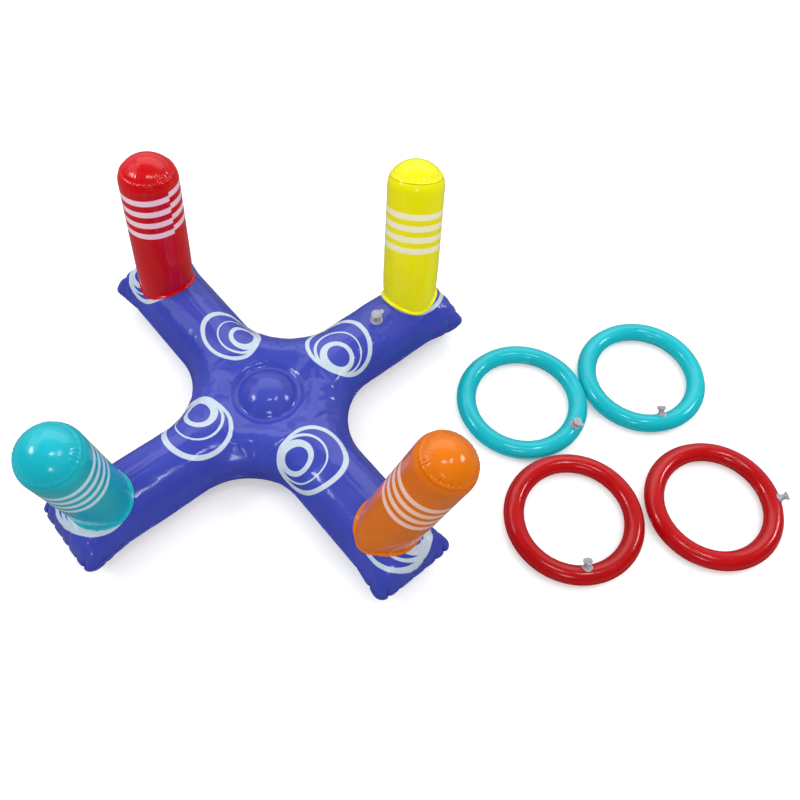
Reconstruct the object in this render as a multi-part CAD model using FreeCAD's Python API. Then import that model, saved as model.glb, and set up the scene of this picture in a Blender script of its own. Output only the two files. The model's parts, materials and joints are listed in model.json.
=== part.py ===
import FreeCAD, Part
import math
import os

# Inflatable ring toss set: an X-shaped air cushion with four soft posts, and four loose air rings.
#
# Frame: millimetres, origin on the floor under the centre of the cushion, +Z up. The arm with the
# yellow post points along +X, then red +Y, cyan -X and orange -Y.
# Everything is welded from thin film, so each piece is a thin shell at its inflated shape.

V = FreeCAD.Vector

# ---- driving dimensions ----

FILM = 0.3                      # thickness of the vinyl film

# base cushion
ARM_REACH = 300.0               # centre of the cushion to the end seam of an arm
ARM_HALF_WIDTH = 49.5
ARM_CORNER_RADIUS = 16.0        # corners of an arm's end, seen from above
TOP_CORNER_RADIUS = 6.0         # the same corners where the top flattens out
CROTCH_RADIUS = 80.0            # between two arms, seen from above
BASE_HEIGHT = 82.0
TOP_ROUNDING = 36.5             # how far the side wall draws in from the seam to the flat top
FLOOR_ROUNDING = 31.0           # how far it draws in from the seam to the patch on the floor
SECTION_ANGLES = range(0, 91, 15)

# centre weld: a round groove with a low dome inside it
GROOVE_RADIUS = 42.0
GROOVE_WIDTH = 10.0
GROOVE_DEPTH = 3.5
DOME_RADIUS = 37.0
DOME_RISE = 7.0

# posts
POST_RADIUS = 37.6
POST_LENGTH = 203.0             # along the post's axis, from its seat to the tip of the cap
POST_CAP_RISE = 32.0            # height of the domed cap
CAP_KNUCKLE = 24.0              # the cap's tighter curve next to the wall
POST_SEAT_RADIUS = 241.0        # centre of the cushion to the post's axis at the seat
POST_SEAT_HEIGHT = 74.0         # below the ridge of the arm, because the foot wraps round it
POST_ROOT = 60.0                # how far the wall's blank runs below the seat before it is trimmed
FOOT_LIP = 7.0                  # width of the out-turned lip that is welded to the top sheet
FOOT_LOWEST = 50.0              # no part of a post is below this height
FOOT_DROP = 3.0                 # the lip is centred on the post's axis this far below the seat
TRANSFER_HOLE_RADIUS = 8.0      # lets air through the top sheet into a post

# colour: (arm number counted from +X, lean outwards, lean to the next arm), in degrees
POSTS = {
    "yellow": (0, 16.4, 18.6),
    "red": (1, 3.9, -5.8),
    "cyan": (2, 7.7, 7.9),
    "orange": (3, 12.1, 14.7),
}

# rings
RING_RADIUS = 78.0              # centre of the ring to the centre of its tube
TUBE_RADIUS = 12.3

# ring: (centre x, centre y, direction of the valve, tilt of the valve outwards from upright)
RINGS = {
    "cyan_a": (287.0, -194.8, -73.0, 10.0),
    "cyan_b": (450.4, -272.4, -117.0, -42.0),
    "red_a": (215.3, -363.8, -125.0, -33.0),
    "red_b": (372.3, -467.8, -35.0, 52.0),
}

# air valve, for a ring; the base valve is the same one, larger
BASE_VALVE_X = 182.0            # along the yellow arm
BASE_VALVE_SCALE = 1.25
FLANGE_RADIUS = 7.0
FLANGE_THICKNESS = 0.5
COLLAR_RADIUS = 5.2
COLLAR_HEIGHT = 1.5
STEM_RADIUS = 3.8
STEM_BORE_RADIUS = 2.6
STEM_OUT = 7.6                  # skin to the underside of the lip, with the valve popped out
STEM_IN = 3.3                   # skin to the stem's inner end
LIP_RADIUS = 5.2
LIP_THICKNESS = 1.0
PLUG_HEAD_RADIUS = 5.8
PLUG_HEAD_THICKNESS = 1.6
SPIGOT_LENGTH = 5.0
RUNNING_GAP = 0.1               # radial gap of the stem in its flange and of the spigot in the stem
TAB_LENGTH = 4.0                # pull tab, beyond the plug's head
TAB_WIDTH = 5.0
TAB_THICKNESS = 0.9
FLAP_RADIUS = 3.6
FLAP_THICKNESS = 0.4

# ---- worked out from them ----

SEAM_HEIGHT = BASE_HEIGHT / 2


# ---- base cushion ----

def arm_point(along, across, arm, height):
    """A point in an arm's own frame, turned to that arm."""
    turn = math.radians(90 * arm)
    x = along * math.cos(turn) - across * math.sin(turn)
    y = along * math.sin(turn) + across * math.cos(turn)
    return V(x, y, height)


def cushion_outline(inset, corner, height):
    """The X seen from above, as a closed wire: four round-cornered arms and four concave crotches."""
    half = ARM_HALF_WIDTH - inset
    reach = ARM_REACH - inset
    crotch = CROTCH_RADIUS + inset
    root = half + crotch
    corner_mid = corner * (1 - math.sqrt(0.5))
    crotch_mid = root - crotch * math.sqrt(0.5)
    edges = []
    for arm in range(4):
        def at(along, across):
            return arm_point(along, across, arm, height)
        edges.append(Part.makeLine(at(root, -half), at(reach - corner, -half)))
        edges.append(Part.Arc(
            at(reach - corner, -half),
            at(reach - corner_mid, corner_mid - half),
            at(reach, corner - half),
        ).toShape())
        edges.append(Part.makeLine(at(reach, corner - half), at(reach, half - corner)))
        edges.append(Part.Arc(
            at(reach, half - corner),
            at(reach - corner_mid, half - corner_mid),
            at(reach - corner, half),
        ).toShape())
        edges.append(Part.makeLine(at(reach - corner, half), at(root, half)))
        edges.append(Part.Arc(
            at(root, half),
            at(crotch_mid, crotch_mid),
            at(half, root),
        ).toShape())
    return Part.Wire(edges)


def cushion_half(side, inset):
    """Half of the cushion as a solid, above (side 1) or below (side -1) the seam.

    The wall is a quarter of an ellipse from the seam to the flat. A positive inset gives the
    hollow inside the film, and a negative one a skin that lies on top of it.
    """
    rounding = TOP_ROUNDING if side > 0 else FLOOR_ROUNDING
    sections = []
    for degrees in SECTION_ANGLES:
        angle = math.radians(degrees)
        drawn_in = 1 - math.cos(angle)
        corner = ARM_CORNER_RADIUS - (ARM_CORNER_RADIUS - TOP_CORNER_RADIUS) * drawn_in
        height = SEAM_HEIGHT + side * (SEAM_HEIGHT - inset) * math.sin(angle)
        sections.append(cushion_outline(inset + (rounding - inset) * drawn_in, corner, height))
    return Part.makeLoft(sections, True, False)


def with_centre_weld(half, inset):
    """Add the low dome and cut the round groove, for the film's outside or its inside."""
    top = BASE_HEIGHT - inset
    dome_sphere = (DOME_RADIUS ** 2 + DOME_RISE ** 2) / (2 * DOME_RISE)
    dome_centre = BASE_HEIGHT + DOME_RISE - dome_sphere
    ball = Part.makeSphere(dome_sphere - inset, V(0, 0, dome_centre))
    keep = Part.makeCylinder(DOME_RADIUS + GROOVE_WIDTH / 2, DOME_RISE * 2, V(0, 0, top - GROOVE_DEPTH / 2))
    groove_round = ((GROOVE_WIDTH / 2) ** 2 + GROOVE_DEPTH ** 2) / (2 * GROOVE_DEPTH)
    groove_centre = BASE_HEIGHT - GROOVE_DEPTH + groove_round
    groove = Part.makeTorus(GROOVE_RADIUS, groove_round + inset, V(0, 0, groove_centre))
    return half.fuse(ball.common(keep)).cut(groove)


def post_axis(name):
    """The seat point and the direction of a post's axis."""
    arm, outwards, sideways = POSTS[name]
    lean = arm_point(math.tan(math.radians(outwards)), math.tan(math.radians(sideways)), arm, 1.0)
    return arm_point(POST_SEAT_RADIUS, 0, arm, POST_SEAT_HEIGHT), lean.normalize()


def base_top_sheet(outer):
    """The upper film, with the centre weld, four transfer holes and the valve's hole."""
    inner = with_centre_weld(cushion_half(1, FILM), FILM)
    sheet = outer.cut(inner)
    for name in POSTS:
        seat, axis = post_axis(name)
        sheet = sheet.cut(Part.makeCylinder(TRANSFER_HOLE_RADIUS, POST_ROOT, seat - axis * (POST_ROOT / 2), axis))
    return sheet.cut(valve_hole(BASE_VALVE_SCALE, base_valve_place()))


def base_bottom_sheet(lower):
    return lower.cut(cushion_half(-1, FILM))


def base_centre_baffle():
    """A band of film that ties the two sheets together under the groove."""
    top = BASE_HEIGHT - GROOVE_DEPTH - FILM
    outer = Part.makeCylinder(GROOVE_RADIUS + FILM / 2, top - FILM, V(0, 0, FILM))
    inner = Part.makeCylinder(GROOVE_RADIUS - FILM / 2, top - FILM, V(0, 0, FILM))
    return outer.cut(inner)


# ---- posts ----

def post_wall(name, cushion, cushion_grown):
    """The tube, trimmed to the cushion, with the lip that is welded to it."""
    seat, axis = post_axis(name)
    start = seat - axis * POST_ROOT
    blank_length = POST_ROOT + POST_LENGTH - POST_CAP_RISE
    bore = Part.makeCylinder(POST_RADIUS - FILM, blank_length, start, axis)
    below_foot = Part.makeBox(
        2 * ARM_REACH, 2 * ARM_REACH, FOOT_LOWEST, V(seat.x - ARM_REACH, seat.y - ARM_REACH, 0)
    )
    wall = Part.makeCylinder(POST_RADIUS, blank_length, start, axis).cut(bore).cut(cushion).cut(below_foot)
    foot = seat - axis * FOOT_DROP
    lip = Part.makeCylinder(POST_RADIUS + FOOT_LIP, BASE_HEIGHT, V(foot.x, foot.y, FOOT_LOWEST))
    lip = lip.common(cushion_grown).cut(cushion).cut(bore)
    return wall.fuse(lip).removeSplitter()


def post_cap(name):
    """The domed disc that closes a post: a crown that turns through a knuckle into the wall."""
    crown_radius = (
        (POST_RADIUS - CAP_KNUCKLE) ** 2 + POST_CAP_RISE ** 2 - CAP_KNUCKLE ** 2
    ) / (2 * (POST_CAP_RISE - CAP_KNUCKLE))
    crown_centre = V(0, 0, POST_CAP_RISE - crown_radius)
    knuckle_centre = V(POST_RADIUS - CAP_KNUCKLE, 0, 0)
    join = (knuckle_centre - crown_centre).normalize()
    join_slope = math.atan2(join.z, join.x)

    def on_arc(centre, radius, angle):
        return centre + V(math.cos(angle), 0, math.sin(angle)) * radius

    def arc(centre, radius, low, high):
        return Part.Arc(
            on_arc(centre, radius, low), on_arc(centre, radius, (low + high) / 2), on_arc(centre, radius, high)
        ).toShape()

    edges = []
    for inset in (0, FILM):
        edges.append(arc(knuckle_centre, CAP_KNUCKLE - inset, 0, join_slope))
        edges.append(arc(crown_centre, crown_radius - inset, join_slope, math.pi / 2))
    edges.append(Part.makeLine(V(POST_RADIUS, 0, 0), V(POST_RADIUS - FILM, 0, 0)))
    edges.append(Part.makeLine(V(0, 0, POST_CAP_RISE), V(0, 0, POST_CAP_RISE - FILM)))
    profile = Part.Face(Part.Wire(Part.__sortEdges__(edges)))
    cap = profile.revolve(V(0, 0, 0), V(0, 0, 1), 360)
    seat, axis = post_axis(name)
    seam = seat + axis * (POST_LENGTH - POST_CAP_RISE)
    cap.Placement = FreeCAD.Placement(seam, FreeCAD.Rotation(V(0, 0, 1), axis))
    return cap


# ---- air valves: made upright on a skin at z = 0, then put in place ----

def valve_disc(radius, low, high, scale):
    return Part.makeCylinder(radius * scale, (high - low) * scale, V(0, 0, low * scale))


def placed(shape, place):
    copy = shape.copy()
    copy.Placement = place
    return copy


def valve_hole(scale, place):
    """The hole through the skin, which the stem slides in."""
    return placed(valve_disc(STEM_RADIUS + RUNNING_GAP / scale, -STEM_OUT, STEM_OUT, scale), place)


def valve_flange(skin, skin_grown, scale, place):
    """A thin disc that follows the skin, with a low collar around the stem."""
    disc = placed(valve_disc(FLANGE_RADIUS, -STEM_IN, COLLAR_HEIGHT, scale), place).common(skin_grown)
    collar = placed(valve_disc(COLLAR_RADIUS, -STEM_IN, COLLAR_HEIGHT, scale), place)
    return disc.fuse(collar).cut(skin).cut(valve_hole(scale, place)).removeSplitter()


def valve_stem(scale, place):
    tube = valve_disc(STEM_RADIUS, -STEM_IN, STEM_OUT, scale)
    lip = valve_disc(LIP_RADIUS, STEM_OUT, STEM_OUT + LIP_THICKNESS, scale)
    bore = valve_disc(STEM_BORE_RADIUS, -STEM_IN, STEM_OUT + LIP_THICKNESS, scale)
    return placed(tube.fuse(lip).cut(bore).removeSplitter(), place)


def valve_plug(scale, place):
    """A stopper: a spigot in the stem's bore, a flat head on the lip, and a pull tab."""
    seat = STEM_OUT + LIP_THICKNESS
    spigot = valve_disc(STEM_BORE_RADIUS - RUNNING_GAP / scale, seat - SPIGOT_LENGTH, seat, scale)
    head = valve_disc(PLUG_HEAD_RADIUS, seat, seat + PLUG_HEAD_THICKNESS, scale)
    reach = (PLUG_HEAD_RADIUS + TAB_LENGTH - TAB_WIDTH / 2) * scale
    tab = Part.makeBox(reach, TAB_WIDTH * scale, TAB_THICKNESS * scale, V(0, -TAB_WIDTH * scale / 2, seat * scale))
    tab_end = Part.makeCylinder(TAB_WIDTH * scale / 2, TAB_THICKNESS * scale, V(reach, 0, seat * scale))
    return placed(spigot.fuse([head, tab, tab_end]).removeSplitter(), place)


def valve_flap(scale, place):
    """The check flap, closed against the stem's inner end."""
    return placed(valve_disc(FLAP_RADIUS, -STEM_IN - FLAP_THICKNESS, -STEM_IN, scale), place)


def base_valve_place():
    return FreeCAD.Placement(V(BASE_VALVE_X, 0, BASE_HEIGHT), FreeCAD.Rotation())


# ---- rings ----

def ring_parts(name):
    """Two skins and a valve, made with the valve towards +X, then turned and moved into place."""
    centre_x, centre_y, direction, tilt = RINGS[name]
    angle = math.radians(tilt)
    tube_centre = V(0, 0, TUBE_RADIUS)
    outer = Part.makeTorus(RING_RADIUS, TUBE_RADIUS, tube_centre)
    inner = Part.makeTorus(RING_RADIUS, TUBE_RADIUS - FILM, tube_centre)
    grown = Part.makeTorus(RING_RADIUS, TUBE_RADIUS + FLANGE_THICKNESS, tube_centre)
    out = V(math.sin(angle), 0, math.cos(angle))
    on_skin = V(RING_RADIUS, 0, TUBE_RADIUS) + out * TUBE_RADIUS
    place = FreeCAD.Placement(on_skin, FreeCAD.Rotation(V(0, 1, 0), tilt))
    size = 2 * (RING_RADIUS + 2 * TUBE_RADIUS)
    above = Part.makeBox(size, size, size, V(-size / 2, -size / 2, TUBE_RADIUS))
    film = outer.cut(inner)
    parts = {
        "upper_skin": film.common(above).cut(valve_hole(1, place)),
        "lower_skin": film.cut(above),
        "valve_flange": valve_flange(outer, grown, 1, place),
        "valve_stem": valve_stem(1, place),
        "valve_plug": valve_plug(1, place),
        "valve_flap": valve_flap(1, place),
    }
    to_place = FreeCAD.Placement(V(centre_x, centre_y, 0), FreeCAD.Rotation(V(0, 0, 1), direction))
    for shape in parts.values():
        shape.Placement = to_place.multiply(shape.Placement)
    return {"ring_" + name + "_" + piece: shape for piece, shape in parts.items()}


# ---- write one file per piece ----

def all_parts():
    upper = with_centre_weld(cushion_half(1, 0), 0)
    lower = cushion_half(-1, 0)
    cushion = cushion_half(1, 0).fuse(lower)
    cushion_grown = cushion_half(1, -FILM)
    valve_slab = Part.makeBox(
        4 * FLANGE_RADIUS, 4 * FLANGE_RADIUS, FLANGE_THICKNESS,
        V(BASE_VALVE_X - 2 * FLANGE_RADIUS, -2 * FLANGE_RADIUS, BASE_HEIGHT),
    )
    place = base_valve_place()
    parts = {
        "base_top_sheet": base_top_sheet(upper),
        "base_bottom_sheet": base_bottom_sheet(lower),
        "base_centre_baffle": base_centre_baffle(),
        "base_valve_flange": valve_flange(cushion, valve_slab, BASE_VALVE_SCALE, place),
        "base_valve_stem": valve_stem(BASE_VALVE_SCALE, place),
        "base_valve_plug": valve_plug(BASE_VALVE_SCALE, place),
        "base_valve_flap": valve_flap(BASE_VALVE_SCALE, place),
    }
    for name in POSTS:
        parts["post_" + name + "_wall"] = post_wall(name, cushion, cushion_grown)
        parts["post_" + name + "_cap"] = post_cap(name)
    for name in RINGS:
        parts.update(ring_parts(name))
    return parts


os.makedirs("parts", exist_ok=True)
for node, shape in all_parts().items():
    solids = shape.Solids
    if len(solids) != 1 or not shape.isValid():
        raise ValueError(node + " has " + str(len(solids)) + " solids, valid: " + str(shape.isValid()))
    solids[0].exportStep("parts/" + node + ".step")
    print(node, round(solids[0].Volume, 1), "mm3")
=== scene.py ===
import json
import math
import random

import bmesh
import bpy
import numpy as np
from mathutils import Matrix, Vector
from mathutils.bvhtree import BVHTree

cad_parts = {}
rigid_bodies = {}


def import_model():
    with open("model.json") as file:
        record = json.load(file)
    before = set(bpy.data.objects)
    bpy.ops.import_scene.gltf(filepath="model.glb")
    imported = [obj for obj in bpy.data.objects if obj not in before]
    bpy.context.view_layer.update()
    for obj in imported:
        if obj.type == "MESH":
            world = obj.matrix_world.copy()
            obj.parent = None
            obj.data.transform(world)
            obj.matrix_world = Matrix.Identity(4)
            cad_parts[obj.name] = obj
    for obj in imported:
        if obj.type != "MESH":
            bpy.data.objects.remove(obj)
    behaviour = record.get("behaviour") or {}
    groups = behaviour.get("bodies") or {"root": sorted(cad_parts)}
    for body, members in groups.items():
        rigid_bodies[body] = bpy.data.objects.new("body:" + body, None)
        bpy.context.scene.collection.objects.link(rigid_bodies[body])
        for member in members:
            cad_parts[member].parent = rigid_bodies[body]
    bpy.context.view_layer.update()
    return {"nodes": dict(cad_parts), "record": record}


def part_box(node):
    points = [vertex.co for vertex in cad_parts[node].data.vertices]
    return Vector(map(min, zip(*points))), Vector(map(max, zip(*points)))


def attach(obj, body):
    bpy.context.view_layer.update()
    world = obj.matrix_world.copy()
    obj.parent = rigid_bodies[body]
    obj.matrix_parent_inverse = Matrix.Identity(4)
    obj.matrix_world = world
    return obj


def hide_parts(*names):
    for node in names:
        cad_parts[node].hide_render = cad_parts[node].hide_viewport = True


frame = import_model()

# Inflatable ring toss set. Metres, origin on the floor under the cushion's centre, +Z up.
# The yellow post's arm points along +X, then red +Y, cyan -X and orange -Y.

POST_COLOURS = ("yellow", "red", "cyan", "orange")
RING_NAMES = ("cyan_a", "cyan_b", "red_a", "red_b")
JOINTS = {joint["name"]: joint for joint in frame["record"]["behaviour"]["joints"]}
BASE_BODY = JOINTS["base_valve_push_in"]["parent"]

# ---- sizes taken from the frame ----

bottom_low, bottom_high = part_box("base_bottom_sheet")
REACH = bottom_high.x                       # centre of the cushion to the end seam of an arm
SEAM = bottom_high.z                        # height of the side seam
sheet_points = [v.co for v in frame["nodes"]["base_bottom_sheet"].data.vertices]
HALF = max(abs(p.y) for p in sheet_points if p.x > 0.7 * REACH)       # half the width of an arm

# ---- sizes of the soft details ----

CROTCH = 0.080              # radius between two arms, seen from above
END_TAPER = 0.040           # length of the arm's end that draws together to its seam
END_FLARE = 0.0065          # how far the two corners of an arm's end spread
END_CORNER = 0.012          # radius of those corners
FIN = 0.0018                # width of the welded edge that stands out from the side seam
FIN_THICKNESS = 0.0008
FILM = 0.0004               # thickness of the film as it is shown
END_NOTCHES = 6             # gathers along an arm's end seam
NOTCH_SPAN = 0.78           # where the outermost ones are, as a share of half the end's width
NOTCH_DEPTH = 0.0042        # how far a gather draws the seam in
NOTCH_WIDTH = 0.0022
CREASE_WIDTH = 0.0050       # the fold that runs up the film from a notch
CREASE_LENGTH = 0.0095
EAR = 0.026                 # from an arm's corner to the first notch of its side seam

GROOVE_RADIUS = 0.0400      # the round weld in the middle
GROOVE_DEPTH = 0.0036
GROOVE_WIDTH = 0.0052
BASIN_DEPTH = 0.0064        # the wider hollow that the weld pulls into the cushion
BASIN_WIDTH = 0.0175
DOME_RADIUS = 0.0392        # the film inside the weld
DOME_RISE = 0.0090

AIR_PRESSURE = 4.0
AIR_FRAMES = 20
AIR_STRETCH = 0.01          # how much longer the film is than the shape it starts in
AIR_MOST_MOVE = 0.0030
WELD_HELD = 0.048           # the film is held within this distance of the cushion's centre
VALVE_HELD = 0.014          # and of the middle of the base valve's flange, which stiffens it

FOOT_PINCH = 0.0022         # how far a post draws in at its foot
PINCH_HEIGHT = 0.011        # how fast that fades up the tube
FOOT_PUCKER = 0.0005        # depth of the gathers there
PUCKER_HEIGHT = 0.010
FOOT_LIP = 0.0042           # width of the lip that is welded to the cushion
LIP_SHARES = (1.0, 0.7, 0.35, 0.12)     # where the lip's rows lie, from its edge to the tube
LIP_CLEAR = 0.0009          # the lip's film rides this far above the cushion's
LIP_BEND = 0.0003           # and the tube starts this much higher
STEM_HOLE = 0.62            # the hole for a valve's stem, as a share of its flange

CAP_KNUCKLE = 0.024         # the cap's tighter curve next to the wall
CAP_SEAM_RADIUS = 0.0315
CAP_SEAM_DRAW = 0.0005      # how far the weld draws the film in
CAP_SEAM_WIDTH = 0.0018
CAP_PUCKER = 0.0006         # depth of the gathers beside it
CAP_PUCKER_WIDTH = 0.0042

ROOT_ALONG = HALF + CROTCH                          # where an arm's sides stop being straight
CENTRE_HALF = ROOT_ALONG - CROTCH * math.sqrt(0.5)  # the crotch seams' nearest points, along X and Y


# ---- small helpers ----

def smooth(t):
    t = min(max(t, 0.0), 1.0)
    return t * t * (3 - 2 * t)


def direction(azimuth, elevation):
    a, e = math.radians(azimuth), math.radians(elevation)
    return Vector((math.cos(a) * math.cos(e), math.sin(a) * math.cos(e), math.sin(e)))


def swell(t, power):
    """A rounded rise from 0 at the seam (t = 0) to 1 at the crest (t = 1)."""
    t = min(max(t, 0.0), 1.0)
    return (1 - (1 - t) ** power) ** (1 / power)


def mesh_object(name, points, faces, material=None):
    mesh = bpy.data.meshes.new(name)
    mesh.from_pydata([tuple(p) for p in points], [], faces)
    mesh.validate()
    mesh.update()
    for polygon in mesh.polygons:
        polygon.use_smooth = True
    if material:
        mesh.materials.append(material)
    obj = bpy.data.objects.new(name, mesh)
    bpy.context.scene.collection.objects.link(obj)
    return obj


def point_attribute(obj, name, values):
    attribute = obj.data.attributes.new(name, "FLOAT", "POINT")
    attribute.data.foreach_set("value", [float(v) for v in values])


def film_thickness(obj):
    """Turns an open sheet into a closed shell, with the thickness on its inner side."""
    shell = obj.modifiers.new("film", "SOLIDIFY")
    shell.thickness = FILM
    shell.offset = -1.0
    shell.use_quality_normals = True


def cut_stem_hole(obj, owner):
    """Opens the film for a valve's stem: drops the faces under it and draws the rim onto a circle."""
    low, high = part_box(owner + "_valve_flange")
    radius = STEM_HOLE * max(high.x - low.x, high.y - low.y) / 2
    low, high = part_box(owner + "_valve_stem")
    centre = (low + high) / 2
    axis = Vector(JOINTS[owner + "_valve_push_in"]["axis"])
    film = bmesh.new()
    film.from_mesh(obj.data)

    def off_axis(vertex):
        away = vertex.co - centre
        return away - axis * away.dot(axis)

    near = [v for v in film.verts if (v.co - centre).length < 3 * radius]
    inside = {v for v in near if off_axis(v).length < 0.8 * radius}
    near = [v for v in near if v not in inside]
    bmesh.ops.delete(film, geom=list(inside), context="VERTS")
    for vertex in near:
        if vertex.is_boundary:
            away = off_axis(vertex)
            vertex.co += away * (radius / away.length - 1)
    film.to_mesh(obj.data)
    film.free()


# ---- materials ----

class Nodes:
    """Short calls for the nodes of one tree."""

    def __init__(self, tree):
        self.tree = tree

    def link(self, source, socket):
        self.tree.links.new(source, socket)

    def feed(self, socket, value):
        if isinstance(value, bpy.types.NodeSocket):
            self.link(value, socket)
        else:
            socket.default_value = value

    def math(self, operation, *values, clamp=False):
        node = self.tree.nodes.new("ShaderNodeMath")
        node.operation = operation
        node.use_clamp = clamp
        for socket, value in zip(node.inputs, values):
            self.feed(socket, value)
        return node.outputs[0]

    def position(self):
        node = self.tree.nodes.new("ShaderNodeTexCoord")
        return node.outputs["Object"]

    def split(self, vector):
        node = self.tree.nodes.new("ShaderNodeSeparateXYZ")
        self.link(vector, node.inputs[0])
        return node.outputs

    def attribute(self, name):
        node = self.tree.nodes.new("ShaderNodeAttribute")
        node.attribute_name = name
        return node.outputs["Fac"]

    def noise(self, scale, detail=2.0, vector=None, rough=0.5):
        node = self.tree.nodes.new("ShaderNodeTexNoise")
        node.inputs["Scale"].default_value = scale
        node.inputs["Detail"].default_value = detail
        node.inputs["Roughness"].default_value = rough
        self.link(vector or self.position(), node.inputs["Vector"])
        return node.outputs["Fac"]

    def ramp(self, value, low, high):
        """0 below low, 1 above high, smooth between."""
        node = self.tree.nodes.new("ShaderNodeMapRange")
        node.interpolation_type = "SMOOTHSTEP"
        self.feed(node.inputs["Value"], value)
        node.inputs["From Min"].default_value = low
        node.inputs["From Max"].default_value = high
        return node.outputs[0]

    def between(self, value, low, high):
        node = self.tree.nodes.new("ShaderNodeMapRange")
        self.feed(node.inputs["Value"], value)
        node.inputs["To Min"].default_value = low
        node.inputs["To Max"].default_value = high
        return node.outputs[0]

    def mix(self, factor, a, b):
        node = self.tree.nodes.new("ShaderNodeMix")
        node.data_type = "RGBA"
        self.feed(node.inputs["Factor"], factor)
        self.feed(node.inputs[6], a)
        self.feed(node.inputs[7], b)
        return node.outputs[2]

    def bump(self, height, distance, strength=1.0, normal=None):
        node = self.tree.nodes.new("ShaderNodeBump")
        node.inputs["Distance"].default_value = distance
        node.inputs["Strength"].default_value = strength
        self.link(height, node.inputs["Height"])
        if normal is not None:
            self.link(normal, node.inputs["Normal"])
        return node.outputs["Normal"]


class Surface(Nodes):
    """A new material and its nodes."""

    def __init__(self, name):
        self.material = bpy.data.materials.new(name)
        self.material.use_nodes = True
        super().__init__(self.material.node_tree)
        self.shader = self.tree.nodes["Principled BSDF"]


def colour(red, green, blue):
    """A displayed colour, 0 to 255, as the linear values a shader takes."""
    def linear(value):
        value = value / 255
        return value / 12.92 if value <= 0.04045 else ((value + 0.055) / 1.055) ** 2.4
    return (linear(red), linear(green), linear(blue), 1.0)


# noise scales of the vinyl film, coarse to fine, and heights of its relief
CLOUD_SCALE = 14.0
WAVE_SCALE = 30.0
MARK_SCALE = 55.0
WEAR_SCALE = 420.0
GRAIN_SCALE = 900.0
WAVE_HEIGHT = 0.0012
GRAIN_HEIGHT = 0.00004
INK_HEIGHT = 0.00006
SHINE = 0.14                # roughness of clean film
SHINE_MARKED = 0.10         # added where it has been handled, and where it is printed


def vinyl(name, film, deep, ink=None, ink_mask=None, glow=0.0):
    """Glossy PVC film: colour that varies with its thickness, fine waves, dust and handling marks, and, if
    asked, a faint glow of its own colour that is painted light standing in for light through the film.
    """
    n = Surface(name)
    position = n.position()
    cloud = n.ramp(n.noise(CLOUD_SCALE, 3.0, position), 0.35, 0.65)
    base = n.mix(cloud, film, deep)
    mask = ink_mask(n) if ink_mask else None
    if mask is not None:
        worn = n.ramp(n.noise(WEAR_SCALE, 3.0, position), 0.30, 0.42)
        cover = n.math("MULTIPLY", mask, n.between(worn, 0.82, 0.96))
        base = n.mix(cover, base, ink)
    n.link(base, n.shader.inputs["Base Color"])
    marks = n.ramp(n.noise(MARK_SCALE, 6.0, position, 0.65), 0.45, 0.75)
    shine = n.between(marks, SHINE, SHINE + SHINE_MARKED)
    if mask is not None:
        shine = n.math("ADD", shine, n.math("MULTIPLY", mask, SHINE_MARKED))
    n.link(shine, n.shader.inputs["Roughness"])
    n.shader.inputs["IOR"].default_value = 1.5
    # Painted light: the glow is a faint emission of the film's colour, standing in for light that shines
    # through the thin vinyl.
    if glow:
        n.link(base, n.shader.inputs["Emission Color"])
        n.shader.inputs["Emission Strength"].default_value = glow
    waves = n.bump(n.noise(WAVE_SCALE, 2.0, position), WAVE_HEIGHT, 0.35)
    grain = n.bump(n.noise(GRAIN_SCALE, 2.0, position), GRAIN_HEIGHT, 0.5, waves)
    if mask is not None:
        grain = n.bump(mask, INK_HEIGHT, 0.6, grain)
    n.link(grain, n.shader.inputs["Normal"])
    return n.material


WHITE_INK = colour(190, 204, 216)
INK_EDGE = 0.0004           # half the width over which the ink's edge fades
STRIPE_COUNT = 4
STRIPE_WIDTH = 0.0083
STRIPE_STEP = 0.0040        # how far a stripe climbs in a turn, so its ends miss each other at the lap seam


def stripe_mask(start, pitch):
    """Rings of ink round a post, from a distance below its tip."""
    def mask(n):
        climb = n.math("MULTIPLY", n.attribute("turn"), STRIPE_STEP)
        along = n.math("SUBTRACT", n.attribute("along"), climb)
        total = None
        for k in range(STRIPE_COUNT):
            low = start + k * pitch
            rise = n.ramp(along, low - INK_EDGE, low + INK_EDGE)
            fall = n.ramp(along, low + STRIPE_WIDTH - INK_EDGE, low + STRIPE_WIDTH + INK_EDGE)
            band = n.math("SUBTRACT", rise, fall, clamp=True)
            total = band if total is None else n.math("MAXIMUM", total, band)
        return total
    return mask


def inside_egg(n, u, v, centre, size, narrow):
    """1 inside an egg with this centre and half size, which narrows towards -v."""
    x = n.math("DIVIDE", n.math("SUBTRACT", u, centre[0]), size[0])
    y = n.math("DIVIDE", n.math("SUBTRACT", v, centre[1]), size[1])
    x = n.math("DIVIDE", x, n.math("MULTIPLY_ADD", y, narrow, 1.0))
    radius = n.math("SQRT", n.math("ADD", n.math("MULTIPLY", x, x), n.math("MULTIPLY", y, y)))
    edge = INK_EDGE / size[0]
    return n.math("SUBTRACT", 1.0, n.ramp(radius, 1 - edge, 1 + edge))


# The print on an arm: three oval rings of ink, each a smaller copy of the one round it, crowded to one side.
OVAL_LARGEST = (0.0440, 0.0485)     # half its length along the arm, half its width across
OVAL_SHRINK = 0.71                  # from one oval to the next one inside it
OVAL_CROWDING = (0.70, 0.50)        # how far a centre moves for each metre that the half size grows
OVAL_LINES = (0.0060, 0.0030, 0.0080)           # widths of the lines, from the largest oval
OVAL_LINE_SHIFTS = (-0.0010, 0.0010, 0.0020)    # how far a line's hollow sits off the middle, outwards
OVAL_NARROWING = 0.05       # egg shape of the middle oval; the largest has twice that, the smallest none
ROOT_OVAL = (0.0940, -0.0220)       # centre of the smallest oval near the cushion's centre
TIP_OVAL = (0.2675, 0.0180)         # and at a post's foot, where the print is turned half round


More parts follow.
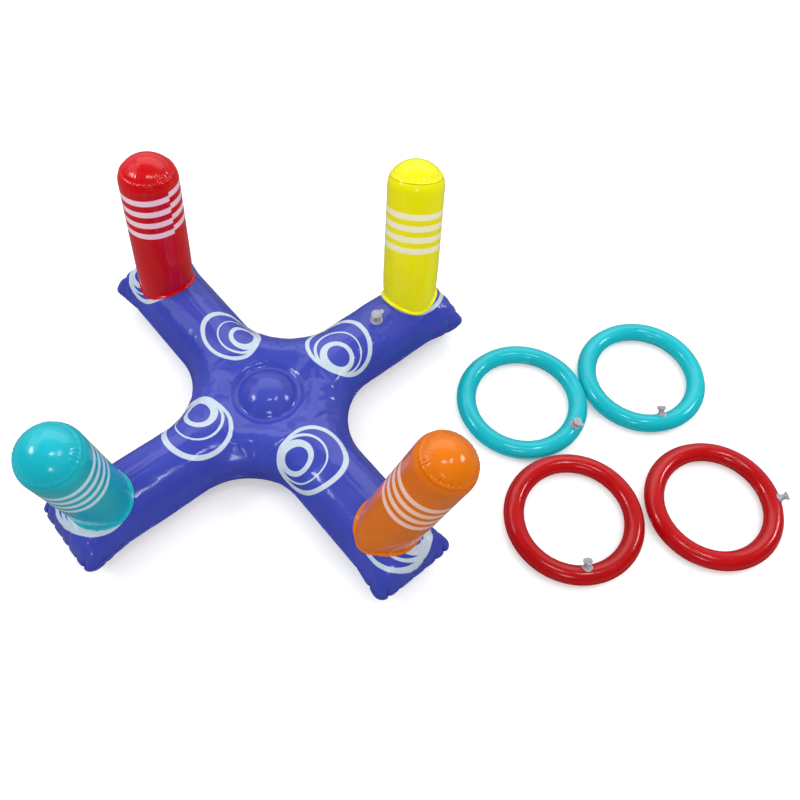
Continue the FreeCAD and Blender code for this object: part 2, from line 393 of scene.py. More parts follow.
def oval_mask(n):
    """Nested ovals on each arm: the print repeats four times round the cushion."""
    x, y = n.attribute("flat_x"), n.attribute("flat_y")
    on_x = n.math("GREATER_THAN", n.math("ABSOLUTE", x), n.math("ABSOLUTE", y))
    main = n.math("ADD", n.math("MULTIPLY", on_x, n.math("SUBTRACT", x, y)), y)
    other = n.math("SUBTRACT", n.math("MULTIPLY", on_x, n.math("ADD", x, y)), x)
    sign = n.math("SIGN", main)
    u = n.math("MULTIPLY", main, sign)
    v = n.math("MULTIPLY", other, sign)
    total = None
    for place, flip in ((ROOT_OVAL, 1), (TIP_OVAL, -1)):
        for index, (line, line_shift) in enumerate(zip(OVAL_LINES, OVAL_LINE_SHIFTS)):
            scale = OVAL_SHRINK ** index
            from_smallest = len(OVAL_LINES) - 1 - index
            growth = scale - OVAL_SHRINK ** (len(OVAL_LINES) - 1)
            size = [half * scale for half in OVAL_LARGEST]
            off = [crowding * half * growth for crowding, half in zip(OVAL_CROWDING, OVAL_LARGEST)]
            at = (place[0] + flip * off[0], place[1] + flip * off[1])
            narrow = flip * OVAL_NARROWING * from_smallest
            whole = inside_egg(n, u, v, at, size, narrow)
            hollow_at = (at[0] + flip * line_shift, at[1])
            hollow = inside_egg(n, u, v, hollow_at, [half - line for half in size], narrow)
            band = n.math("SUBTRACT", whole, hollow, clamp=True)
            total = band if total is None else n.math("MAXIMUM", total, band)
    return total


# film where it is thin, then where it is thick; a post's third colour is its ink
BLUE = (colour(60, 71, 172), colour(55, 65, 165))
POST_VINYL = {
    "yellow": (colour(236, 232, 6), colour(229, 223, 4), colour(240, 234, 200)),
    "red": (colour(202, 8, 20), colour(192, 4, 14), colour(248, 208, 222)),
    "cyan": (colour(20, 176, 192), colour(14, 164, 180), colour(204, 228, 236)),
    "orange": (colour(216, 112, 2), colour(208, 104, 2), colour(240, 196, 176)),
}
RING_VINYL = {
    "cyan": (colour(18, 178, 191), colour(12, 170, 183)),
    "red": (colour(176, 8, 16), colour(168, 6, 12)),
}


# ---- base cushion ----

ACROSS_CELLS = 64
ARM_ROWS = 66
END_ROWS = 26
# How far the print sits off its place, outwards and to the left, at an arm's root and at its tip:
# on the yellow arm and then on the red one. On the arm opposite it is off as far the other way.
PRINT_SHIFT = (((0.0085, 0.0065), (0.0030, 0.0090)), ((-0.0065, 0.0085), (-0.0020, 0.0020)))
PRINT_STRETCH = {"red": 0.80, "cyan": 1.04}     # across an arm's root, where its film is gathered or pulled
STRETCH_FROM = -0.080                           # the side seam that stays in place
PRINT_CREEP = 0.10          # length along an arm over which the root's shift turns into the tip's
PRINT_MEETING = 0.018       # the shift fades out this near to the line between two arms
PRINT_START = 0.035         # and inside this distance from the cushion's middle
PRINT_FADE = 0.015
ARC_STEPS = 16


def arm_half_width(along):
    """Half the width of the X at a distance from its centre, seen from above."""
    if along < ROOT_ALONG:
        return ROOT_ALONG - math.sqrt(CROTCH ** 2 - (ROOT_ALONG - along) ** 2)
    flare = END_FLARE * smooth((along - (REACH - 1.5 * END_TAPER)) / (1.5 * END_TAPER))
    past_corner = max(along - (REACH - END_CORNER), 0.0)
    corner = END_CORNER - math.sqrt(max(END_CORNER ** 2 - past_corner ** 2, 0.0))
    return HALF + flare - corner


def seam_distance(along, across):
    """From a point of the arm to the nearest side seam."""
    across = abs(across)
    if along < ROOT_ALONG:
        return math.hypot(ROOT_ALONG - along, ROOT_ALONG - across) - CROTCH
    return arm_half_width(along) - across


def arm_notches(arm):
    """Where the seam round an arm's end is gathered: (along, across, strength) of each notch."""
    rng = random.Random(31 + arm)
    half = HALF + END_FLARE
    notches = []
    for k in range(END_NOTCHES):
        across = half * (NOTCH_SPAN - 2 * NOTCH_SPAN * k / (END_NOTCHES - 1)) + rng.uniform(-0.005, 0.005)
        outermost = k in (0, END_NOTCHES - 1)
        strength = rng.uniform(0.8, 1.1) if outermost else rng.uniform(0.25, 0.6)
        notches.append((REACH, across, strength))
    for side in (-1, 1):
        for ears, weakest, strongest in ((1.0, 0.5, 0.9), (1.9, 0.15, 0.35)):
            along = REACH - ears * EAR - rng.uniform(-0.004, 0.004)
            notches.append((along, side * half, rng.uniform(weakest, strongest)))
    return notches


def gathers(along, across, notches):
    """How far the seam is drawn in here, as a vector, and how deep the folds beside it are, 0 to 1."""
    pull_along = pull_across = fold = 0.0
    for at_along, at_across, strength in notches:
        on_end = at_along == REACH
        beside = abs(across - at_across) if on_end else abs(along - at_along)
        behind = REACH - along if on_end else abs(at_across) - math.copysign(1, at_across) * across
        if beside > 0.03 or behind > 0.06:
            continue
        fade = math.exp(-behind / CREASE_LENGTH)
        near = strength * math.exp(-(beside / NOTCH_WIDTH) ** 1.3) * fade
        if on_end:
            pull_along += near
        else:
            pull_across += near * math.copysign(1, at_across)
        fold += strength * math.exp(-(beside / CREASE_WIDTH) ** 1.4) * fade
    return pull_along * NOTCH_DEPTH, pull_across * NOTCH_DEPTH, min(fold, 1.2)


def weld_relief(distance):
    """Height of the centre weld's groove and dome, at a distance from the cushion's centre."""
    groove = -GROOVE_DEPTH * math.exp(-((distance - GROOVE_RADIUS) / GROOVE_WIDTH) ** 2)
    basin = -BASIN_DEPTH * math.exp(-((distance - GROOVE_RADIUS) / BASIN_WIDTH) ** 2)
    dome = DOME_RISE * max(1 - (distance / DOME_RADIUS) ** 2.6, 0.0) ** 1.3
    return groove + basin + dome


def cushion_point(along, across, notches, side):
    """A point of the skin, in the arm's own frame."""
    side_rise = swell(seam_distance(along, across) / HALF, 2.1)
    end_rise = swell((REACH - along) / END_TAPER, 2.3)
    pull_along, pull_across, fold = gathers(along, across, notches)
    height = SEAM * side_rise * end_rise * (1 - 0.30 * fold)
    if side > 0:
        height += weld_relief(math.hypot(along, across))
    return along - pull_along, across - pull_across, SEAM + side * height


def printed_place(arm, along, across):
    """Where a point of an arm lies on the flat print."""
    tip = smooth((along - ROOT_ALONG) / PRINT_CREEP)
    at_root, at_tip = (Vector(shift) for shift in PRINT_SHIFT[arm % 2])
    shift = at_root.lerp(at_tip, tip) * (1 if arm < 2 else -1)
    stretch = PRINT_STRETCH.get(POST_COLOURS[arm], 1.0)
    stretch += (1 - stretch) * tip
    return along - shift.x, STRETCH_FROM + (across - shift.y - STRETCH_FROM) / stretch


def centre_flat(x, y):
    """Where a point of the cushion's middle lies on the flat printed film."""
    arm = 0
    while not (x > 0 and abs(y) <= x) and arm < 4:
        x, y = y, -x
        arm += 1
    if arm == 4:        # the very centre
        return 0.0, 0.0
    arc = 0.0
    before = cushion_point(x, 0.0, [], 1)[2]
    for k in range(1, ARC_STEPS + 1):
        height = cushion_point(x, y * k / ARC_STEPS, [], 1)[2]
        arc += math.hypot(y / ARC_STEPS, height - before)
        before = height
    arc = math.copysign(arc, y)
    share = smooth((x - abs(y)) / PRINT_MEETING) * smooth((x - PRINT_START) / PRINT_FADE)
    printed = printed_place(arm, x, arc)
    flat = Vector((x, arc, 0)).lerp(Vector((*printed, 0)), share)
    flat.rotate(Matrix.Rotation(math.radians(90 * arm), 3, "Z"))
    return flat.x, flat.y


def cushion_sheet(side):
    """One sheet as a grid of quads: points, their places on the flat film, faces and the arms' rows."""
    steps = [2 * k / ACROSS_CELLS - 1 for k in range(ACROSS_CELLS + 1)]
    ease = [math.sin(s * math.pi / 2) for s in steps]
    points, flats, faces, keys = [], [], [], {}

    def add(point, flat):
        key = (round(point[0], 6), round(point[1], 6))
        if key not in keys:
            keys[key] = len(points)
            points.append(point)
            flats.append(flat)
        return keys[key]

    def block(rows):
        for row, following in zip(rows, rows[1:]):
            for k in range(len(row) - 1):
                quad = (row[k], following[k], following[k + 1], row[k + 1])
                faces.append(quad if side > 0 else tuple(reversed(quad)))

    def centre(a, b):
        share = abs(steps[b]) ** 3
        x = CENTRE_HALF * ((1 - share) * steps[a] + share * ease[a])
        share = abs(steps[a]) ** 3
        y = CENTRE_HALF * ((1 - share) * steps[b] + share * ease[b])
        height = cushion_point(max(abs(x), abs(y)), min(abs(x), abs(y)), [], side)[2]
        return add((x, y, height), centre_flat(x, y) if side > 0 else (x, y))

    block([[centre(a, b) for b in range(ACROSS_CELLS + 1)] for a in range(ACROSS_CELLS + 1)])
    straight = REACH - END_TAPER - CENTRE_HALF
    stations = [CENTRE_HALF + straight * k / ARM_ROWS for k in range(ARM_ROWS)]
    for k in range(END_ROWS + 1):
        stations.append(REACH - END_TAPER * (1 - math.sin(k / END_ROWS * math.pi / 2)))
    arms = []
    for arm in range(4):
        turn = Matrix.Rotation(math.radians(90 * arm), 3, "Z")
        notches = arm_notches(arm)
        rows = []
        for along in stations:
            half = arm_half_width(along)
            row = [Vector(cushion_point(along, half * s, notches, side)) for s in ease]
            over = [0.0]
            for before, after in zip(row, row[1:]):
                over.append(over[-1] + (after - before).length)
            middle = over[len(over) // 2]
            numbers = []
            for point, arc in zip(row, over):
                flat = turn @ Vector((*printed_place(arm, along, arc - middle), 0))
                numbers.append(add(tuple(turn @ point), (flat.x, flat.y)))
            rows.append(numbers)
        block(rows)
        arms.append(rows)
    return points, flats, faces, arms


def edge_loop(ends):
    """The sheet's open edge, anticlockwise, as point numbers."""
    loop = []
    for rows in ends:
        loop += [row[0] for row in rows]
        loop += rows[-1][1:-1]
        loop += [row[-1] for row in reversed(rows)]
    clean = []
    for number in loop:
        if not clean or clean[-1] != number:
            clean.append(number)
    if clean[0] == clean[-1]:
        clean.pop()
    return clean


def add_fin(points, faces, loop, side):
    """Two more rows of quads outside the seam: the flat welded edge."""
    count = len(loop)
    outward = []
    for k in range(count):
        before = Vector(points[loop[k - 1]])
        after = Vector(points[loop[(k + 1) % count]])
        tangent = after - before
        outward.append(Vector((tangent.y, -tangent.x, 0)).normalized())
    previous = list(loop)
    for share in (0.3, 1.0):
        row = []
        for k, number in enumerate(loop):
            place = Vector(points[number]) + outward[k] * FIN * share
            place.z = SEAM + side * FIN_THICKNESS / 2
            row.append(len(points))
            points.append(tuple(place))
        for k in range(count):
            after = (k + 1) % count
            quad = (previous[k], row[k], row[after], previous[after])
            faces.append(quad if side > 0 else tuple(reversed(quad)))
        previous = row


def simulate_air(points, faces, held):
    """Runs a short cloth simulation on a closed chamber of film with air inside. Gives the new points."""
    chamber = mesh_object("chamber", points, faces)
    chamber.vertex_groups.new(name="held").add(held, 1.0, "REPLACE")
    cloth = chamber.modifiers.new("air", "CLOTH")
    film = cloth.settings
    film.vertex_group_mass = "held"
    film.quality = 1
    film.mass = 0.1
    film.tension_stiffness = film.compression_stiffness = 40.0
    film.shear_stiffness = 20.0
    film.bending_stiffness = 0.05
    film.tension_damping = film.compression_damping = film.shear_damping = 25.0
    film.air_damping = 5.0
    film.shrink_min = -AIR_STRETCH
    film.use_pressure = True
    film.uniform_pressure_force = AIR_PRESSURE
    film.effector_weights.gravity = 0.0
    cloth.point_cache.frame_start = 1
    cloth.point_cache.frame_end = AIR_FRAMES
    for number in range(1, AIR_FRAMES + 1):
        bpy.context.scene.frame_set(number)
    with bpy.context.temp_override(object=chamber, active_object=chamber):
        bpy.ops.object.modifier_apply(modifier=cloth.name)
    moved = np.array([v.co for v in chamber.data.vertices])
    bpy.context.scene.frame_set(1)
    bpy.data.objects.remove(chamber)
    return moved


def fill_with_air(top_points, top_faces, bottom_points, bottom_faces, seam):
    """Lets air pressure settle the two sheets, which are held at the seam, the centre weld and the valve."""
    low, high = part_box("base_valve_flange")
    valve = (low + high) / 2
    numbers = list(range(len(bottom_points)))
    joined = list(top_points)
    on_seam = set(seam)
    for k, point in enumerate(bottom_points):
        if k not in on_seam:
            numbers[k] = len(joined)
            joined.append(point)
    faces = top_faces + [tuple(numbers[k] for k in face) for face in bottom_faces]
    held = []
    for k, point in enumerate(joined):
        at_weld = math.hypot(point[0], point[1]) < WELD_HELD
        at_valve = (Vector(point) - valve).length < VALVE_HELD
        if k in on_seam or at_weld or at_valve:
            held.append(k)
    start = np.array(joined)
    move = simulate_air(joined, faces, held) - start
    length = np.linalg.norm(move, axis=1, keepdims=True) + 1e-9
    settled = start + move * AIR_MOST_MOVE * np.tanh(length / AIR_MOST_MOVE) / length
    top_points[:] = [tuple(p) for p in settled[:len(top_points)]]
    bottom_points[:] = [tuple(settled[k]) for k in numbers]


def make_cushion():
    top_points, top_flats, top_faces, arms = cushion_sheet(1)
    bottom_points, bottom_flats, bottom_faces, _ = cushion_sheet(-1)
    seam = edge_loop(arms)
    fill_with_air(top_points, top_faces, bottom_points, bottom_faces, seam)
    sheets = []
    for side, name, points, flats, faces, material in (
        (1, "cushion_top", top_points, top_flats, top_faces, PRINTED_BLUE),
        (-1, "cushion_bottom", bottom_points, bottom_flats, bottom_faces, PLAIN_BLUE),
    ):
        add_fin(points, faces, seam, side)
        flats += [(0.0, 0.0)] * (len(points) - len(flats))
        sheet = mesh_object(name, points, faces, material)
        point_attribute(sheet, "flat_x", [x for x, _ in flats])
        point_attribute(sheet, "flat_y", [y for _, y in flats])
        film_thickness(sheet)
        sheets.append(sheet)
    cut_stem_hole(sheets[0], "base")
    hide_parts("base_top_sheet", "base_centre_baffle")
    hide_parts("base_bottom_sheet")
    for sheet in sheets:
        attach(sheet, BASE_BODY)
    return sheets


# ---- posts ----

POST_COLUMNS = 200
TUBE_ROWS = 34
TUBE_EASE = 1.35            # above 1, the tube's rows are closer near its foot
KNUCKLE_ROWS = 14           # from the wall to the cap's seam
SHOULDER_ROWS = 8           # from the seam to the crown
CROWN_ROWS = 15
WELD_COLUMNS = 4            # a weld evens out the film over this many columns to each side
LAP_COLUMNS = 4             # the film laps over itself by this many columns
LAP_STEP = 0.0004
LAP_AZIMUTH = {"yellow": 60.0, "red": -89.0, "cyan": 60.0, "orange": 60.0}
# a post's stripes: distance of the first one below the tip, and pitch
STRIPES = {
    "yellow": (0.0575, 0.0158),
    "red": (0.0335, 0.0173),
    "cyan": (0.0455, 0.0171),
    "orange": (0.0615, 0.0156),
}
STRIPE_TILT = {"red": (0.0036, -24.0), "cyan": (0.0050, 13.0)}      # how far up they tilt, and the azimuth
FOOT_BOW = {"yellow": Vector((0.0065, 0.0075, 0.0))}    # how far a post's foot bows away from its axis
BOW_EASE = 1.6
PROBE_DEPTH = 0.05          # below the cap's rim, where the look for the cushion's surface starts
GATHERS_ROUND = (29, 38, 46, 54)        # how many gathers go round a welded disc, in each of their waves


def circle_centre(points):
    """Centre and mean radius of 2-D points that lie on circles round one centre."""
    flat = np.array(points)
    system = np.column_stack([2 * flat, np.ones(len(flat))])
    answer = np.linalg.lstsq(system, (flat ** 2).sum(1), rcond=None)[0]
    return answer[:2], math.sqrt(answer[2] + answer[0] ** 2 + answer[1] ** 2)


def post_frame(name):
    """The circle where wall and cap meet: a matrix with +Z up the post, its radius, and the cap's rise."""
    mesh = frame["nodes"]["post_" + name + "_cap"].data
    by_normal = {}
    for polygon in mesh.polygons:
        key = tuple(round(c, 3) for c in polygon.normal)
        by_normal.setdefault(key, []).append(polygon)
    rim = max(by_normal.values(), key=len)
    axis = -sum((p.normal for p in rim), Vector()).normalized()
    azimuth = math.radians(LAP_AZIMUTH[name])
    lap = Vector((math.cos(azimuth), math.sin(azimuth), 0))
    lap = (lap - axis * lap.dot(axis)).normalized()
    other = axis.cross(lap)
    ring = [mesh.vertices[i].co for p in rim for i in p.vertices]
    level = sum(p.dot(axis) for p in ring) / len(ring)
    middle, radius = circle_centre([(p.dot(lap), p.dot(other)) for p in ring])
    rise = max(v.co.dot(axis) for v in mesh.vertices) - level
    place = Matrix((lap, other, axis)).transposed().to_4x4()
    place.translation = lap * middle[0] + other * middle[1] + axis * level
    return place, radius, rise


def cap_profile(radius, rise):
    """(radius, height) pairs over the knuckle and the crown, and the number of the pair at the seam."""
    knuckle_x = radius - CAP_KNUCKLE
    crown = (knuckle_x ** 2 + rise ** 2 - CAP_KNUCKLE ** 2) / (2 * (rise - CAP_KNUCKLE))
    join = math.atan2(crown - rise, knuckle_x)
    seam_angle = math.acos((CAP_SEAM_RADIUS - knuckle_x) / CAP_KNUCKLE)
    angles = [seam_angle * k / KNUCKLE_ROWS for k in range(1, KNUCKLE_ROWS + 1)]
    seam_at = len(angles) - 1
    angles += [seam_angle + (join - seam_angle) * k / SHOULDER_ROWS for k in range(1, SHOULDER_ROWS + 1)]
    pairs = [(knuckle_x + CAP_KNUCKLE * math.cos(a), CAP_KNUCKLE * math.sin(a)) for a in angles]
    for k in range(1, CROWN_ROWS + 1):
        angle = join + (math.pi / 2 - join) * k / CROWN_ROWS
        pairs.append((crown * math.cos(angle), rise - crown + crown * math.sin(angle)))
    return pairs, seam_at


def seam_pucker(rng_key):
    """Uneven gathers round a welded disc: a function of the angle, about -1 to 1."""
    rng = random.Random(rng_key)
    terms = [(count, rng.uniform(0, 2 * math.pi), rng.uniform(0.4, 1.0)) for count in GATHERS_ROUND]
    total = sum(weight for _, _, weight in terms)

    def value(angle):
        return 1.6 * sum(weight * math.cos(count * angle + shift) for count, shift, weight in terms) / total
    return value


class Post:
    """What a post's wall and its cap share: the frame, the profile and the gathers."""

    def __init__(self, name, cushion):
        self.name = name
        self.cushion = cushion
        self.place, self.radius, self.rise = post_frame(name)
        self.to_local = self.place.inverted()
        self.profile, self.seam_at = cap_profile(self.radius, self.rise)
        self.cap_pucker = seam_pucker("post " + name)
        self.foot_pucker = seam_pucker("foot " + name)
        self.bow = FOOT_BOW.get(name, Vector())

    def at(self, angle, r, z):
        """The point at an angle and distance from the post's axis, and at a height from the cap's rim."""
        return self.place @ Vector((math.cos(angle) * r, math.sin(angle) * r, z))

    def seam_shape(self, pair, angle):
        """A (radius, height) pair of the profile, drawn in at the cap's seam and puckered beside it."""
        r, z = pair
        seam_r, seam_z = self.profile[self.seam_at]
        off = math.hypot(r - seam_r, z - seam_z)
        draw = CAP_SEAM_DRAW * math.exp(-(off / CAP_SEAM_WIDTH) ** 2)
        draw += CAP_PUCKER * math.exp(-off / CAP_PUCKER_WIDTH) * self.cap_pucker(angle)
        slope = math.atan2(z, max(r - (self.radius - CAP_KNUCKLE), 1e-6))
        return r - draw * math.cos(slope), z - draw * math.sin(slope)

    def on_cushion(self, angle, r):
        """Height of the cushion under the post at an angle and distance from the post's axis."""
        start = self.at(angle, r, -PROBE_DEPTH) + self.bow
        hit = self.cushion.ray_cast(start, -self.place.col[2].to_3d())[0]
        return (self.to_local @ hit).z

    def level_round(self, radii):
        """The same all the way round, smoothed as a weld smooths the film, and never below the cushion."""
        angles = [2 * math.pi * k / POST_COLUMNS for k in range(POST_COLUMNS)]
        heights = np.array([self.on_cushion(angle, r) for angle, r in zip(angles, radii)])
        turns = range(-WELD_COLUMNS, WELD_COLUMNS + 1)
        return np.maximum(heights, sum(np.roll(heights, step) for step in turns) / len(turns))

    def finish(self, piece, node):
        film_thickness(piece)
        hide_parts("post_" + self.name + node)
        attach(piece, BASE_BODY)


def make_tube(post):
    """The wall: rows of the foot's lip, then the tube, then the shoulder up to the cap's seam."""
    foot_radii = np.full(POST_COLUMNS, post.radius - FOOT_PINCH)
    foot_levels = post.level_round(foot_radii)
    drop = foot_levels - post.level_round(foot_radii + FOOT_LIP)
    lip_reach = FOOT_LIP * FOOT_LIP / np.hypot(FOOT_LIP, drop)
    lip_radii = [foot_radii + lip_reach * share for share in LIP_SHARES]
    lip_levels = [post.level_round(radii) for radii in lip_radii]
    stripe_tilt, tilt_azimuth = STRIPE_TILT.get(post.name, (0.0, 0.0))
    points, alongs, turns = [], [], []
    columns = POST_COLUMNS + LAP_COLUMNS + 1
    for k in range(columns):
        angle = 2 * math.pi * k / POST_COLUMNS
        spread = LAP_STEP if k >= POST_COLUMNS - 1 else 0.0
        round_k = k % POST_COLUMNS
        foot = foot_levels[round_k]
        column = []
        for radii, levels in zip(lip_radii, lip_levels):
            lip = post.at(angle, radii[round_k], levels[round_k] + LIP_CLEAR + spread)
            column.append(lip + post.bow)
        for row in range(TUBE_ROWS + 1):
            share = (row / TUBE_ROWS) ** TUBE_EASE
            z = (foot + LIP_CLEAR + LIP_BEND) * (1 - share)
            above = z - foot
            r = post.radius - FOOT_PINCH * math.exp(-above / PINCH_HEIGHT)
            r += FOOT_PUCKER * post.foot_pucker(angle) * math.exp(-above / PUCKER_HEIGHT) + spread
            column.append(post.at(angle, r, z) + post.bow * (z / foot) ** BOW_EASE)
        for pair in post.profile[:post.seam_at + 1]:
            r, z = post.seam_shape(pair, angle)
            column.append(post.at(angle, r + spread, z))
        points += column
        turns += [k / POST_COLUMNS] * len(column)
        out = post.place.to_3x3() @ Vector((math.cos(angle), math.sin(angle), 0))
        tilt = stripe_tilt * out.dot(direction(tilt_azimuth, 0))
        alongs += [post.rise - (post.to_local @ p).z + tilt for p in column]
    rows = len(points) // columns
    faces = [
        (k * rows + j, (k + 1) * rows + j, (k + 1) * rows + j + 1, k * rows + j + 1)
        for k in range(columns - 1) for j in range(rows - 1)
    ]
    tube = mesh_object("post_" + post.name + "_tube", points, faces, POST_MATERIAL[post.name])
    point_attribute(tube, "along", alongs)
    point_attribute(tube, "turn", turns)
    post.finish(tube, "_wall")


def make_end(post):
    """The cap: a disc from its seam to the tip."""
    points, faces = [], []
    pairs = post.profile[post.seam_at:-1]
    for pair in pairs:
        for k in range(POST_COLUMNS):
            angle = 2 * math.pi * k / POST_COLUMNS
            points.append(post.at(angle, *post.seam_shape(pair, angle)))
    points.append(post.at(0.0, 0.0, post.rise))
    last = (len(pairs) - 1) * POST_COLUMNS
    for k in range(POST_COLUMNS):
        after = (k + 1) % POST_COLUMNS
        for row in range(0, last, POST_COLUMNS):
            faces.append((row + k, row + after, row + POST_COLUMNS + after, row + POST_COLUMNS + k))
        faces.append((last + k, last + after, len(points) - 1))
    end = mesh_object("post_" + post.name + "_end", points, faces, POST_MATERIAL[post.name])
    point_attribute(end, "along", [0.0] * len(points))
    point_attribute(end, "turn", [0.0] * len(points))
    post.finish(end, "_cap")


# ---- rings ----

RING_COLUMNS = 168
RING_ROWS = 18
RING_FIN = 0.0012           # width of the welded edge outside; inside it is narrower
RING_FIN_INNER = 0.7
RING_FIN_HALF = 0.0002      # half its thickness
RING_PUCKER = 0.012         # gathers of the ring's inner side, as a share of its tube


def ring_profile(radius, tube, gather):
    """(radius, height) pairs of half a ring's section, from the outer seam to the inner seam."""
    outside = radius + tube
    pairs = [(outside + RING_FIN, RING_FIN_HALF), (outside + RING_FIN * 0.4, 1.5 * RING_FIN_HALF)]
    for row in range(RING_ROWS + 1):
        turn = math.pi * row / RING_ROWS
        inner = smooth((row / RING_ROWS - 0.5) / 0.5)
        size = tube * (1 + RING_PUCKER * gather * inner)
        lift = math.sin(turn) ** 0.96 if 0 < row < RING_ROWS else 0.0
        pairs.append((radius + size * math.cos(turn), min(size * lift, tube)))
    pairs.append((radius - tube - RING_FIN * RING_FIN_INNER, RING_FIN_HALF))
    return pairs


def make_ring(name):
    low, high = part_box("ring_" + name + "_lower_skin")
    middle = (low + high) / 2
    tube = high.z - low.z
    radius = (high.x - low.x) / 2 - tube
    pucker = seam_pucker("ring " + name)
    hue = name.split("_")[0]
    for side, skin in ((1, "upper"), (-1, "lower")):
        points, faces = [], []
        for k in range(RING_COLUMNS):
            angle = 2 * math.pi * k / RING_COLUMNS
            for r, z in ring_profile(radius, tube, pucker(angle)):
                x, y = middle.x + r * math.cos(angle), middle.y + r * math.sin(angle)
                points.append((x, y, tube + side * z))
        rows = len(points) // RING_COLUMNS
        for k in range(RING_COLUMNS):
            after = (k + 1) % RING_COLUMNS
            for j in range(rows - 1):
                quad = (k * rows + j, after * rows + j, after * rows + j + 1, k * rows + j + 1)
                faces.append(quad if side > 0 else tuple(reversed(quad)))
        half = mesh_object("ring_" + name + "_" + skin, points, faces, RING_MATERIAL[hue])
        if side > 0:
            cut_stem_hole(half, "ring_" + name)
        film_thickness(half)
        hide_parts("ring_" + name + "_" + skin + "_skin")
        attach(half, "ring_" + name)


# ---- air valves: the frame's own pieces, in clear vinyl ----

HAZE_SCALE = 260.0
CLEAR = (colour(226, 226, 234), colour(196, 196, 210))      # clean, then hazy
CLEAR_GRAIN_SCALE = 700.0
CLEAR_GRAIN_HEIGHT = 0.0001


def clear_vinyl(name):
    n = Surface(name)
    position = n.position()
    haze = n.ramp(n.noise(HAZE_SCALE, 4.0, position), 0.35, 0.7)
    n.link(n.mix(haze, *CLEAR), n.shader.inputs["Base Color"])
    n.link(n.between(haze, 0.16, 0.34), n.shader.inputs["Roughness"])
    n.shader.inputs["Transmission Weight"].default_value = 0.50
    n.shader.inputs["IOR"].default_value = 1.45
    grain = n.bump(n.noise(CLEAR_GRAIN_SCALE, 2.0, position), CLEAR_GRAIN_HEIGHT, 0.4)
    n.link(grain, n.shader.inputs["Normal"])
    return n.material


def dress_valves():
    material = clear_vinyl("clear_vinyl")
    for node, obj in frame["nodes"].items():
        if "_valve_" in node:
            obj.data.materials.clear()
            obj.data.materials.append(material)


# ---- studio ----

CAMERA_TARGET = Vector((0.1596, -0.0823, 0.0))
CAMERA_DISTANCE = 1.1947
CAMERA_AZIMUTH = 225.57
CAMERA_ELEVATION = 58.15
CAMERA_ROLL = 5.0
CAMERA_LENS = 38.34

LAMP_TARGET = Vector((0.1, -0.1, 0.05))
# azimuth, elevation, distance, width, height and brightness of each lamp
LAMPS = {
    "ceiling_panel": (50.0, 46.0, 2.1, 2.6, 1.2, 1.0),
    "left_panel": (122.0, 42.0, 2.3, 1.5, 1.2, 0.9),
    "lamp_left": (143.0, 42.0, 2.2, 0.50, 0.30, 16.0),
    "lamp_right": (327.0, 35.0, 2.2, 0.45, 0.28, 16.0),
    "lamp_front": (233.0, 36.0, 2.4, 0.50, 0.22, 12.0),
    "lamp_top_left": (245.0, 76.0, 2.2, 0.42, 0.22, 12.0),
    "lamp_top_right": (300.0, 66.0, 2.2, 0.42, 0.22, 12.0),
}
BACKDROP_DIM = 0.05         # what the gloss sees of the room, and how much brighter its far side is
BACKDROP_RISE = 0.60
SKY_LOW = 0.38              # the light that falls on the set from the horizon, and how much more from above
SKY_RISE = 0.67

FLOOR_HALF = 6.0
FLOOR_DROP = 0.0005
FLOOR_PALE = ((0.78, 0.78, 0.78, 1), (0.80, 0.80, 0.80, 1))     # as the camera sees it
FLOOR_LIT = (0.50, 0.50, 0.50, 1)           # as it lights the set
FLOOR_MIRRORED = (0.16, 0.16, 0.17, 1)      # as the gloss sees it
FLOOR_GLOW = 0.34


def make_camera():
    data = bpy.data.cameras.new("camera")
    data.lens = CAMERA_LENS
    data.sensor_width = 36.0
    camera = bpy.data.objects.new("camera", data)
    bpy.context.scene.collection.objects.link(camera)
    back = direction(CAMERA_AZIMUTH, CAMERA_ELEVATION)
    camera.location = CAMERA_TARGET + back * CAMERA_DISTANCE
    level = back.to_track_quat("Z", "Y")
    roll = Matrix.Rotation(math.radians(CAMERA_ROLL), 3, "Z")
    camera.rotation_euler = (level.to_matrix() @ roll).to_euler()
    bpy.context.scene.camera = camera


def softbox(name, azimuth, elevation, distance, width, height, brightness):
    """A soft lamp that faces the set. Its brightness is seen in the gloss, whatever its size."""
    light = bpy.data.lights.new(name, "AREA")
    light.shape = "RECTANGLE"
    light.size = width
    light.size_y = height
    light.energy = brightness * math.pi * width * height
    obj = bpy.data.objects.new(name, light)
    bpy.context.scene.collection.objects.link(obj)
    back = direction(azimuth, elevation)
    obj.location = LAMP_TARGET + back * distance
    obj.rotation_euler = back.to_track_quat("Z", "Y").to_euler()


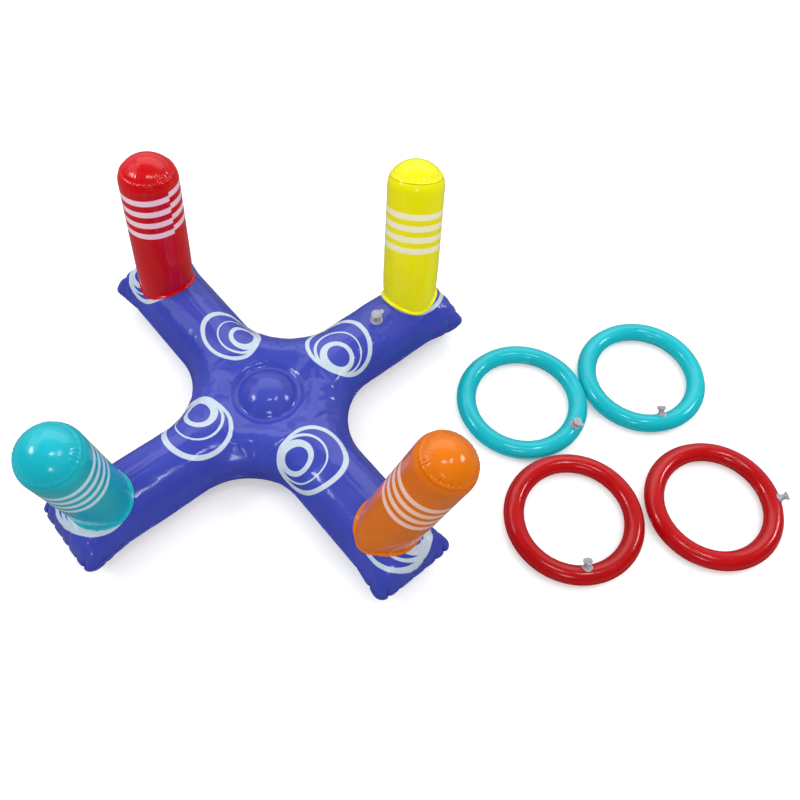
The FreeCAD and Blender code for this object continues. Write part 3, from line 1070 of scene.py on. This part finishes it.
def make_world():
    """White behind the set. The gloss sees a bright backdrop on the far side and a dim room elsewhere."""
    world = bpy.data.worlds.new("studio")
    world.use_nodes = True
    bpy.context.scene.world = world
    n = Nodes(world.node_tree)
    nodes = n.tree.nodes
    x, y, z = n.split(nodes.new("ShaderNodeTexCoord").outputs["Generated"])
    far = direction(CAMERA_AZIMUTH + 180, 0)
    behind = n.math("ADD", n.math("MULTIPLY", x, far.x), n.math("MULTIPLY", y, far.y))
    gloss = n.math("MULTIPLY_ADD", n.ramp(behind, 0.0, 0.95), BACKDROP_RISE, BACKDROP_DIM)
    sky = n.math("MULTIPLY_ADD", n.ramp(z, 0.0, 1.0), SKY_RISE, SKY_LOW)
    path = nodes.new("ShaderNodeLightPath")

    def choose(factor, low, high):
        return n.math("ADD", n.math("MULTIPLY", factor, n.math("SUBTRACT", high, low)), low)

    strength = choose(path.outputs["Is Glossy Ray"], sky, gloss)
    strength = choose(path.outputs["Is Camera Ray"], strength, 1.0)
    n.link(strength, nodes["Background"].inputs["Strength"])
    nodes["Background"].inputs["Color"].default_value = (1.0, 1.0, 1.0, 1.0)


def make_floor():
    n = Surface("floor")
    path = n.tree.nodes.new("ShaderNodeLightPath")
    seen = path.outputs["Is Camera Ray"]
    pale = n.mix(n.noise(6.0, 3.0, n.position()), *FLOOR_PALE)
    unseen = n.mix(path.outputs["Is Glossy Ray"], FLOOR_LIT, FLOOR_MIRRORED)
    n.link(n.mix(seen, unseen, pale), n.shader.inputs["Base Color"])
    n.shader.inputs["Roughness"].default_value = 0.9
    n.shader.inputs["Specular IOR Level"].default_value = 0.1
    n.shader.inputs["Emission Color"].default_value = (1.0, 1.0, 1.0, 1.0)
    n.link(n.math("MULTIPLY", seen, FLOOR_GLOW), n.shader.inputs["Emission Strength"])
    corners = [(x * FLOOR_HALF, y * FLOOR_HALF, 0) for x, y in ((-1, -1), (1, -1), (1, 1), (-1, 1))]
    floor = mesh_object("floor", corners, [(0, 1, 2, 3)], n.material)
    floor.location.z = -FLOOR_DROP


def make_studio():
    make_world()
    make_floor()
    for name, lamp in LAMPS.items():
        softbox(name, *lamp)
    bpy.context.scene.view_settings.view_transform = "Standard"


PRINTED_BLUE = vinyl("blue_vinyl", *BLUE, WHITE_INK, oval_mask)
PLAIN_BLUE = vinyl("blue_vinyl_plain", *BLUE)
# glow: painted light, a faint emission of the film's colour that stands in for light through the film
POST_MATERIAL = {
    name: vinyl(name + "_vinyl", *POST_VINYL[name], stripe_mask(*STRIPES[name]), glow=0.05)
    for name in POST_COLOURS
}
# the rings get the same painted glow, a little fainter
RING_MATERIAL = {hue: vinyl(hue + "_ring_vinyl", *RING_VINYL[hue], glow=0.04) for hue in RING_VINYL}

cushion_top, cushion_bottom = make_cushion()
bpy.context.view_layer.update()
top_surface = BVHTree.FromObject(cushion_top, bpy.context.evaluated_depsgraph_get())
for post_name in POST_COLOURS:
    new_post = Post(post_name, top_surface)
    make_tube(new_post)
    make_end(new_post)
for ring_name in RING_NAMES:
    make_ring(ring_name)
dress_valves()
make_camera()
make_studio()
